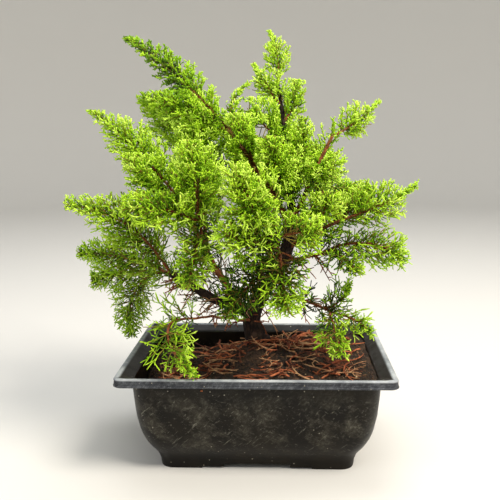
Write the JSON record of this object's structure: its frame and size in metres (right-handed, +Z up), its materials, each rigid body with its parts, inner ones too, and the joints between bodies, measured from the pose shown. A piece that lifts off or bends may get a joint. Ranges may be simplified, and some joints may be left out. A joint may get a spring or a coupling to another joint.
{
  "type": "potted juniper bonsai",
  "caption": "Young juniper grown as a bonsai: a crooked trunk, spreading boughs and plumes of scale-leaf foliage, standing in a filled rectangular plastic training pot.",
  "frame": {"origin": "middle of the whole part's box at table level, under the pot", "axes": "+Z up; X along the pot's long side with +X to the viewer's right; +Y towards the back of the plant"},
  "size_m": [0.2728, 0.2228, 0.3456],
  "materials": {
    "pot_plastic": "moulded black plastic, dusty and scuffed, worn pale along the rim",
    "potting_mix": "damp bark and peat mix under dead rust-brown twigs",
    "old_bark": "flaking purple-brown bark",
    "young_bark": "thin red-brown bark",
    "foliage_bright": "yellow-green scale-leaf sprays, waxy",
    "foliage_deep": "mid-green scale-leaf sprays, waxy"
  },
  "bodies": {
    "root": {"pot": "pot_plastic", "soil": "potting_mix", "trunk": "old_bark", "low_left_bough": "old_bark", "left_bough": "young_bark", "left_leader": "young_bark", "right_high_bough": "young_bark", "right_bough": "young_bark", "right_low_bough": "young_bark", "low_right_twig": "young_bark", "low_front_twig": "young_bark", "low_back_twig": "young_bark", "front_bough": "young_bark", "front_left_bough": "young_bark", "back_bough": "young_bark", "back_right_bough": "young_bark", "back_left_bough": "young_bark", "leader_tip": "foliage_bright", "leader_left": "foliage_bright", "leader_sprig": "foliage_bright", "leader_inner": "foliage_bright", "leader_back": "foliage_bright", "shoulder": "foliage_bright", "shoulder_front": "foliage_bright", "left_upright": "foliage_bright", "left_tip": "foliage_bright", "left_low": "foliage_deep", "left_under": "foliage_deep", "left_hanging": "foliage_deep", "front_left": "foliage_bright", "front_left_upright": "foliage_bright", "front_left_hanging": "foliage_deep", "front_middle": "foliage_bright", "front_inner": "foliage_deep", "front_right": "foliage_deep", "front_low": "foliage_deep", "front_low_left": "foliage_deep", "middle_right": "foliage_bright", "trunk_right": "foliage_bright", "trunk_left": "foliage_bright", "trunk_upper_right": "foliage_bright", "trunk_upper_left": "foliage_bright", "trunk_back": "foliage_bright", "top": "foliage_bright", "right_high": "foliage_bright", "right_high_front": "foliage_bright", "right_inner": "foliage_bright", "right_tip": "foliage_bright", "right_upright": "foliage_bright", "right_low": "foliage_deep", "right_under": "foliage_deep", "low_right": "foliage_deep", "low_right_sprig": "foliage_deep", "low_right_hanging": "foliage_deep", "low_front_sprig": "foliage_deep", "back_middle": "foliage_bright", "back_high": "foliage_bright", "back_right": "foliage_bright", "back_right_high": "foliage_bright", "back_left": "foliage_bright"}
  },
  "joints": []
}
